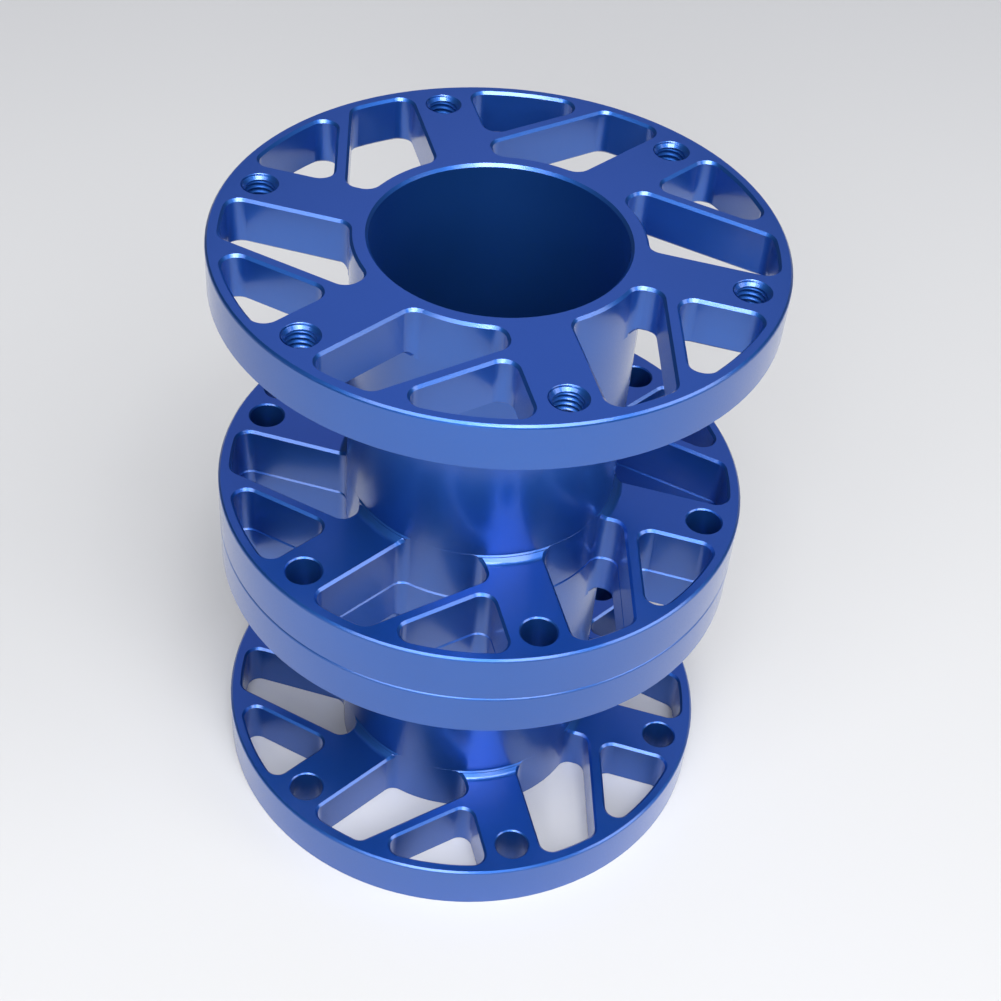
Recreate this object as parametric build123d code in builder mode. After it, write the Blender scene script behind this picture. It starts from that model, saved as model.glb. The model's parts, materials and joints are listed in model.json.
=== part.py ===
from build123d import *
import math
import os

os.makedirs("parts", exist_ok=True)

# Two identical flanged hub spacers, stacked on one axis. Each is turned and milled from one
# billet: a flange with plain bolt holes at the bottom, a tube-like neck, and a flange with
# threaded holes on top. Millimetres and degrees. The origin is the middle of the stack's
# bottom face, +Z runs up the bore, and +X passes over a bolt hole in every flange.

# Spacer
spacer_height = 50.0
flange_radius = 40.0
bore_radius = 18.0
neck_radius = 20.5
plain_flange_thickness = 8.0
threaded_flange_thickness = 7.0
bore_bevel = 0.4

# Edges of the rims. Edges that face up are bevelled at 45 degrees, and the lower corner of that
# bevel is blunted once more. Edges that face down are barely broken.
rim_bevel = 0.35
rim_blunting = 0.12
rim_underside_bevel = 0.1

# Root, where the neck runs out into the inner face of a flange. From the neck outwards it is a
# narrow 45-degree ledge, a small step, and a 45-degree bevel that an arc blends into the face.
root_ledge = 0.2
root_step = 0.15
root_bevel = 0.45
root_blend_radius = 1.1
root_blend_width = root_blend_radius * math.sin(math.radians(45))
root_blend_height = root_blend_radius * (1 - math.cos(math.radians(45)))
root_height = root_step + root_bevel + root_blend_height
root_outer_radius = neck_radius + root_ledge + root_bevel + root_blend_width

# Bolt holes. A threaded hole is M5, and its radius is that of the thread's root.
bolt_count = 6
bolt_circle_radius = 35.0
plain_hole_radius = 2.66
threaded_hole_radius = 2.5
hole_bevel = 0.2

# Windows milled through both flanges. Between two spokes a slanting web parts a large window,
# which reaches in to the neck, from a smaller one beside the rim. The web's middle line is
# told by its angle to the spoke behind it and by its distance from the axis. The large window
# ends a hair outside the neck, so that its inner wall looks like the neck running on.
spoke_pitch = 360 / bolt_count
web_angle = -12.5
web_distance = 22.2
web_half_thickness = 1.0
window_corner_radius = 2.0
large_window_spoke_distance = 4.5
large_window_inner_radius = neck_radius + 0.01
large_window_outer_radius = 38.0
rim_window_spoke_distance = 4.7
rim_window_outer_radius = 38.2

# Levels of the two flanges' inner faces, in one spacer
plain_inner_level = plain_flange_thickness
threaded_inner_level = spacer_height - threaded_flange_thickness

# Bevels of the windows, by the level of the flange face
window_bevels = {0: 0.1, plain_inner_level: 0.38, threaded_inner_level: 0.38, spacer_height: 0.38}


def keep_side(angle, distance, side):
    """Trims the sketch to one side of a line, told by its angle and its distance from the axis."""
    line = Location((0, 0, 0), (0, 0, angle)) * Location((0, distance, 0))
    reach = 4 * flange_radius
    with Locations(line):
        Rectangle(reach, reach, align=(Align.CENTER, side), mode=Mode.INTERSECT)


def is_window_edge(edge):
    """Whether an edge on a flange face bounds a window, and isn't a ring or the foot of a root."""
    if edge.is_closed:
        return False
    return edge.geom_type != GeomType.CIRCLE or abs(edge.radius - root_outer_radius) > 0.01


# The large window that follows the spoke along +X, counter-clockwise
with BuildSketch() as large_window:
    Circle(large_window_outer_radius)
    Circle(large_window_inner_radius, mode=Mode.SUBTRACT)
    keep_side(0, large_window_spoke_distance, Align.MIN)
    keep_side(web_angle, web_distance - web_half_thickness, Align.MAX)
    keep_side(spoke_pitch, -large_window_spoke_distance, Align.MAX)
    fillet(large_window.vertices(), window_corner_radius)

# The rim window beyond its web, up to the next spoke
with BuildSketch() as rim_window:
    Circle(rim_window_outer_radius)
    keep_side(web_angle, web_distance + web_half_thickness, Align.MIN)
    keep_side(spoke_pitch, -rim_window_spoke_distance, Align.MAX)
    fillet(rim_window.vertices(), window_corner_radius)

# One spacer, standing on its plain flange
with BuildPart() as spacer:
    # Half section, turned about the axis
    with BuildSketch(Plane.XZ) as half_section:
        flange_width = flange_radius - bore_radius
        with Locations((bore_radius, 0)):
            Rectangle(neck_radius - bore_radius, spacer_height, align=Align.MIN)
            Rectangle(flange_width, plain_flange_thickness, align=Align.MIN)
        with Locations((bore_radius, threaded_inner_level)):
            Rectangle(flange_width, threaded_flange_thickness, align=Align.MIN)
        chamfer(half_section.vertices().group_by(Axis.X)[0], bore_bevel)
        for bevel in (rim_bevel, rim_blunting):
            rim_corners = half_section.vertices().group_by(Axis.X)[-1].sort_by(Axis.Y)
            chamfer(rim_corners[1::2], bevel)
        chamfer(rim_corners[0::2], rim_underside_bevel)
        for level, way in ((plain_inner_level, 1), (threaded_inner_level, -1)):
            with BuildLine():
                ledge = Line(
                    (neck_radius, level + way * (root_height + root_ledge)),
                    (neck_radius + root_ledge, level + way * root_height),
                )
                step = Line(ledge @ 1, ledge @ 1 + Vector(0, -way * root_step))
                bevel = Line(step @ 1, step @ 1 + Vector(root_bevel, -way * root_bevel))
                TangentArc((root_outer_radius, level), bevel @ 1, tangent=(-1, 0))
                Polyline((root_outer_radius, level), (neck_radius, level), ledge @ 0)
            make_face()
    revolve(axis=Axis.Z)

    # Windows, cut through both flanges just outside the neck, with their edges broken
    with BuildSketch():
        with PolarLocations(0, bolt_count):
            add(large_window.sketch)
            add(rim_window.sketch)
    extrude(amount=spacer_height, mode=Mode.SUBTRACT)
    for level, bevel in window_bevels.items():
        face_edges = spacer.edges().filter_by_position(Axis.Z, level, level)
        chamfer(face_edges.filter_by(is_window_edge), bevel)

    # Plain holes in the bottom flange and threaded ones in the top flange
    with Locations((0, 0, plain_inner_level)):
        with PolarLocations(bolt_circle_radius, bolt_count):
            Hole(plain_hole_radius, depth=plain_flange_thickness)
    chamfer(spacer.edges(Select.LAST).filter_by(GeomType.CIRCLE), hole_bevel)
    with Locations((0, 0, spacer_height)):
        with PolarLocations(bolt_circle_radius, bolt_count):
            Hole(threaded_hole_radius, depth=threaded_flange_thickness)
    chamfer(spacer.edges(Select.LAST).filter_by(GeomType.CIRCLE), hole_bevel)

# The stack
with BuildPart() as lower_spool:
    add(spacer.part)
lower_spool.part.label = "lower_spool"
export_step(lower_spool.part, "parts/lower_spool.step")

with BuildPart() as upper_spool:
    with Locations((0, 0, spacer_height)):
        add(spacer.part)
upper_spool.part.label = "upper_spool"
export_step(upper_spool.part, "parts/upper_spool.step")
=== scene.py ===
import json
import math

import bpy
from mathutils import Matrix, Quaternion, Vector


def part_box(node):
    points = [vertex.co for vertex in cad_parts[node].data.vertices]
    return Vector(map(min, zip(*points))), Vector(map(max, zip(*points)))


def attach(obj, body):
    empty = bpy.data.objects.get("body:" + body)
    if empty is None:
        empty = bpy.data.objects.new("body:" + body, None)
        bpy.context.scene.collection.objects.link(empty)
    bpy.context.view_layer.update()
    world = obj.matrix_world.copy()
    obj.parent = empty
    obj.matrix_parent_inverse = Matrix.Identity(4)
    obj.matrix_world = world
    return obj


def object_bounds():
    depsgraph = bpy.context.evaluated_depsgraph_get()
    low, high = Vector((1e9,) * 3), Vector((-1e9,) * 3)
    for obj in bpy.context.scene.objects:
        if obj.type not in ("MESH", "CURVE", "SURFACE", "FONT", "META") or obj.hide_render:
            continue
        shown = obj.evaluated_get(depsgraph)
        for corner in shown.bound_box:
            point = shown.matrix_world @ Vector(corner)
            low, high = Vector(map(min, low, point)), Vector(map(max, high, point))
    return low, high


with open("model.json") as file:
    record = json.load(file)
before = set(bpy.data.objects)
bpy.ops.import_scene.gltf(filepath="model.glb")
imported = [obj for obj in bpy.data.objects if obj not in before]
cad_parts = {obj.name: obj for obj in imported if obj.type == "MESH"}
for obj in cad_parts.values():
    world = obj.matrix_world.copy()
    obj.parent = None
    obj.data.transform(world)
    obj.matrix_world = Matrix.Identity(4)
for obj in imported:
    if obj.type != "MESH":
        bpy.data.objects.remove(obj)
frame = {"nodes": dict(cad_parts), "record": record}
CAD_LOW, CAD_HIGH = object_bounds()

# Camera: places in metres, roll in degrees, lens and sensor in millimetres
CAMERA_PLACE = Vector((0.04544, -0.19375, 0.23364))
CAMERA_AIM = Vector((-0.00335, -0.00085, 0.03412))
CAMERA_ROLL = 4.154
CAMERA_LENS = 62.08
CAMERA_SENSOR_WIDTH = 36.0
CAMERA_SHIFT = (0.0504, 0.0744)
CAMERA_CLIP_START = 0.01

# Round soft lights, each aimed at the middle of the stack from LIGHT_DISTANCE metres. A row is
# name, bearing counted from the camera's to the right, height angle, width, power and colour.
STACK_MIDDLE = (CAD_LOW + CAD_HIGH) / 2
LIGHT_DISTANCE = 1.2
WHITE = (1, 1, 1)
SOFT_BLUE = (0.34, 0.45, 1.0)
LIGHTS = [
    ("front_low", -6, 27, 0.6, 6.6, WHITE),
    ("front_high", 6, 64, 0.6, 11.5, WHITE),
    ("key", 32, 48, 0.6, 5.2, WHITE),
    ("left", -32, 44, 0.6, 3.4, WHITE),
    ("side", 75, 28, 0.7, 4.4, WHITE),
    ("back", 180, 46, 0.7, 1.1, SOFT_BLUE),
]

# Floor, in metres, and surroundings
FLOOR_REACH = 3.0
FLOOR_COLOUR = (0.6, 0.6, 0.6, 1)
FLOOR_ROUGHNESS = 0.9
WORLD_COLOUR = (0.8, 0.9, 1.0, 1)
WORLD_STRENGTH = 0.05

# Anodised aluminium. Two shades drift into each other, and a fine blasted grain roughens it.
# Noise scales are in cycles per metre, and most of a noise's values lie in NOISE_RANGE.
ANODISE_DEEP = (0.012, 0.096, 0.41, 1)
ANODISE_LIGHT = (0.0155, 0.108, 0.45, 1)
METALLIC = 0.84
ROUGHNESS_RANGE = (0.36, 0.44)
COAT_WEIGHT = 1.0
COAT_ROUGHNESS = 0.17
COAT_IOR = 1.55
SHADE_SCALE = 35
GRAIN_SCALE = 5200
GRAIN_STRENGTH = 0.25
GRAIN_DEPTH = 0.00003
NOISE_RANGE = (0.3, 0.7)

# Threaded holes, in metres
HOLES = next(m for m in frame["record"]["mounts"] if m["name"] == "top_bolt_circle")["dims"]
HOLE_COUNT = HOLES["count"]
HOLE_CIRCLE_RADIUS = HOLES["pcd_mm"] / 2000
HOLE_RADIUS = HOLES["hole_r_mm"] / 1000
HOLE_BEVEL = 0.0002
THREADED_FLANGE_THICKNESS = 0.007

# Threads, M5 x 0.8, in metres. Each end of a thread runs out into a lead-in, the cone that goes
# on from the hole's bevel down to the thread's crests. Both sink a little into the hole's wall.
THREAD_PITCH = 0.0008
THREAD_CREST_RADIUS = 0.00207
THREAD_CREST_WIDTH = 0.00012
THREAD_ROOT_WIDTH = 0.0007
THREAD_STEPS_PER_TURN = 48
THREAD_SINK = 0.00003
LEAD_IN_LIP = 0.00008
LEAD_IN_RETURN = THREAD_ROOT_WIDTH / 3


def make_camera():
    data = bpy.data.cameras.new("camera")
    data.lens = CAMERA_LENS
    data.sensor_width = CAMERA_SENSOR_WIDTH
    data.shift_x, data.shift_y = CAMERA_SHIFT
    data.clip_start = CAMERA_CLIP_START
    camera = bpy.data.objects.new("camera", data)
    bpy.context.scene.collection.objects.link(camera)
    camera.location = CAMERA_PLACE
    camera.rotation_mode = "QUATERNION"
    gaze = (CAMERA_AIM - CAMERA_PLACE).to_track_quat("-Z", "Y")
    camera.rotation_quaternion = gaze @ Quaternion((0, 0, 1), math.radians(CAMERA_ROLL))
    bpy.context.scene.camera = camera


# ---------------------------------------------------------------- materials


def new_material(name):
    material = bpy.data.materials.new(name)
    material.use_nodes = True
    return material, material.node_tree.nodes["Principled BSDF"]


def noise(tree, scale, detail, roughness):
    """A noise texture in object space."""
    place = tree.nodes.new("ShaderNodeTexCoord")
    node = tree.nodes.new("ShaderNodeTexNoise")
    node.inputs["Scale"].default_value = scale
    node.inputs["Detail"].default_value = detail
    node.inputs["Roughness"].default_value = roughness
    tree.links.new(place.outputs["Object"], node.inputs["Vector"])
    return node.outputs["Fac"]


def spread(tree, value, low, high):
    """Maps the usual range of a noise to another range, clamped."""
    node = tree.nodes.new("ShaderNodeMapRange")
    node.inputs["From Min"].default_value, node.inputs["From Max"].default_value = NOISE_RANGE
    node.inputs["To Min"].default_value = low
    node.inputs["To Max"].default_value = high
    tree.links.new(value, node.inputs["Value"])
    return node.outputs["Result"]


def anodised_aluminium():
    material, shader = new_material("blue_anodised_aluminium_look")
    tree = material.node_tree
    mix = tree.nodes.new("ShaderNodeMix")
    mix.data_type = "RGBA"
    mix.inputs["A"].default_value = ANODISE_DEEP
    mix.inputs["B"].default_value = ANODISE_LIGHT
    shade = noise(tree, SHADE_SCALE, detail=3, roughness=0.5)
    tree.links.new(spread(tree, shade, 0, 1), mix.inputs["Factor"])
    tree.links.new(mix.outputs["Result"], shader.inputs["Base Color"])
    shader.inputs["Metallic"].default_value = METALLIC
    grain = noise(tree, GRAIN_SCALE, detail=2, roughness=0.6)
    tree.links.new(spread(tree, grain, *ROUGHNESS_RANGE), shader.inputs["Roughness"])
    shader.inputs["Coat Weight"].default_value = COAT_WEIGHT
    shader.inputs["Coat Roughness"].default_value = COAT_ROUGHNESS
    shader.inputs["Coat IOR"].default_value = COAT_IOR
    bump = tree.nodes.new("ShaderNodeBump")
    bump.inputs["Strength"].default_value = GRAIN_STRENGTH
    bump.inputs["Distance"].default_value = GRAIN_DEPTH
    tree.links.new(grain, bump.inputs["Height"])
    tree.links.new(bump.outputs["Normal"], shader.inputs["Normal"])
    tree.links.new(bump.outputs["Normal"], shader.inputs["Coat Normal"])
    return material


def pale_floor():
    material, shader = new_material("pale_floor")
    shader.inputs["Base Color"].default_value = FLOOR_COLOUR
    shader.inputs["Roughness"].default_value = FLOOR_ROUGHNESS
    return material


# ---------------------------------------------------------------- threads


def thread_profile():
    """Half section of one turn, from below to above: (height from the turn's middle, radius)."""
    wall = HOLE_RADIUS + THREAD_SINK
    foot = THREAD_ROOT_WIDTH / 2
    crest = THREAD_CREST_WIDTH / 2
    return [
        (-foot, wall),
        (-crest, THREAD_CREST_RADIUS),
        (crest, THREAD_CREST_RADIUS),
        (foot, wall),
    ]


def add_thread(vertices, faces, centre, bottom, top):
    """One hole's helix, its ends cut by the cones of the hole's two lead-ins."""
    wall = HOLE_RADIUS + THREAD_SINK
    mouth = HOLE_RADIUS + HOLE_BEVEL + THREAD_SINK
    profile = thread_profile()
    turns = (top - bottom) / THREAD_PITCH
    steps = int(turns * THREAD_STEPS_PER_TURN)
    first = len(vertices)
    for step in range(steps + 1):
        angle = 2 * math.pi * step / THREAD_STEPS_PER_TURN
        middle = bottom + (top - bottom) * step / steps
        for rise, radius in profile:
            height = min(max(middle + rise, bottom), top)
            cone = mouth - min(height - bottom, top - height)
            radius = min(max(radius, cone), wall)
            x = centre.x + radius * math.cos(angle)
            y = centre.y + radius * math.sin(angle)
            vertices.append((x, y, height))
    count = len(profile)
    for step in range(steps):
        a = first + step * count
        b = a + count
        for i in range(count):
            j = (i + 1) % count
            faces.append((a + i, a + j, b + j, b + i))
    last = first + steps * count
    faces.append(tuple(reversed(range(first, first + count))))
    faces.append(tuple(range(last, last + count)))


def add_lead_in(vertices, faces, centre, face_height, way):
    """One closed ring: a cone from the hole's bevel to the crests, a lip, and back to the wall."""
    wall = HOLE_RADIUS + THREAD_SINK
    depth = HOLE_BEVEL + HOLE_RADIUS - THREAD_CREST_RADIUS
    section = [
        (wall, HOLE_BEVEL - THREAD_SINK),
        (THREAD_CREST_RADIUS, depth),
        (THREAD_CREST_RADIUS, depth + LEAD_IN_LIP),
        (wall, depth + LEAD_IN_LIP + LEAD_IN_RETURN),
    ]
    first = len(vertices)
    for step in range(THREAD_STEPS_PER_TURN):
        angle = 2 * math.pi * step / THREAD_STEPS_PER_TURN
        for radius, drop in section:
            x = centre.x + radius * math.cos(angle)
            y = centre.y + radius * math.sin(angle)
            vertices.append((x, y, face_height + way * drop))
    count = len(section)
    for step in range(THREAD_STEPS_PER_TURN):
        a = first + step * count
        b = first + (step + 1) % THREAD_STEPS_PER_TURN * count
        for i in range(count):
            j = (i + 1) % count
            faces.append((a + i, a + j, b + j, b + i)[::way])


def make_threads(spool, body, material):
    """The threads of the holes in a spool's upper flange."""
    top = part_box(spool)[1].z
    bottom = top - THREADED_FLANGE_THICKNESS
    vertices, faces = [], []
    for index in range(HOLE_COUNT):
        angle = 2 * math.pi * index / HOLE_COUNT
        x = HOLE_CIRCLE_RADIUS * math.cos(angle)
        y = HOLE_CIRCLE_RADIUS * math.sin(angle)
        centre = Vector((x, y))
        add_thread(vertices, faces, centre, bottom, top)
        add_lead_in(vertices, faces, centre, top, -1)
        add_lead_in(vertices, faces, centre, bottom, 1)
    mesh = bpy.data.meshes.new(spool + "_threads")
    mesh.from_pydata(vertices, [], faces)
    mesh.validate()
    mesh.materials.append(material)
    piece = bpy.data.objects.new(spool + "_threads", mesh)
    bpy.context.scene.collection.objects.link(piece)
    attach(piece, body)


# ---------------------------------------------------------------- stage


def add_light(name, bearing, height_angle, width, power, colour):
    data = bpy.data.lights.new(name, "AREA")
    data.shape = "DISK"
    data.size = width
    data.energy = power
    data.color = colour
    lamp = bpy.data.objects.new(name, data)
    bpy.context.scene.collection.objects.link(lamp)
    turn = math.atan2(CAMERA_PLACE.y, CAMERA_PLACE.x) + math.radians(bearing)
    rise = math.radians(height_angle)
    level = math.cos(rise)
    ray = Vector((level * math.cos(turn), level * math.sin(turn), math.sin(rise)))
    lamp.location = STACK_MIDDLE + LIGHT_DISTANCE * ray
    lamp.rotation_mode = "QUATERNION"
    lamp.rotation_quaternion = ray.to_track_quat("Z", "Y")


def make_floor():
    mesh = bpy.data.meshes.new("floor")
    corners = [
        (-FLOOR_REACH, -FLOOR_REACH, 0),
        (FLOOR_REACH, -FLOOR_REACH, 0),
        (FLOOR_REACH, FLOOR_REACH, 0),
        (-FLOOR_REACH, FLOOR_REACH, 0),
    ]
    mesh.from_pydata(corners, [], [(0, 1, 2, 3)])
    mesh.materials.append(pale_floor())
    floor = bpy.data.objects.new("floor", mesh)
    bpy.context.scene.collection.objects.link(floor)


def make_world():
    world = bpy.data.worlds.new("studio")
    world.use_nodes = True
    background = world.node_tree.nodes["Background"]
    background.inputs["Color"].default_value = WORLD_COLOUR
    background.inputs["Strength"].default_value = WORLD_STRENGTH
    bpy.context.scene.world = world


make_camera()
blue = anodised_aluminium()
for node in frame["nodes"].values():
    node.data.materials.clear()
    node.data.materials.append(blue)
make_threads("lower_spool", "lower", blue)
make_threads("upper_spool", "upper", blue)
make_floor()
make_world()
for light in LIGHTS:
    add_light(*light)
bpy.context.scene.view_settings.view_transform = "Standard"
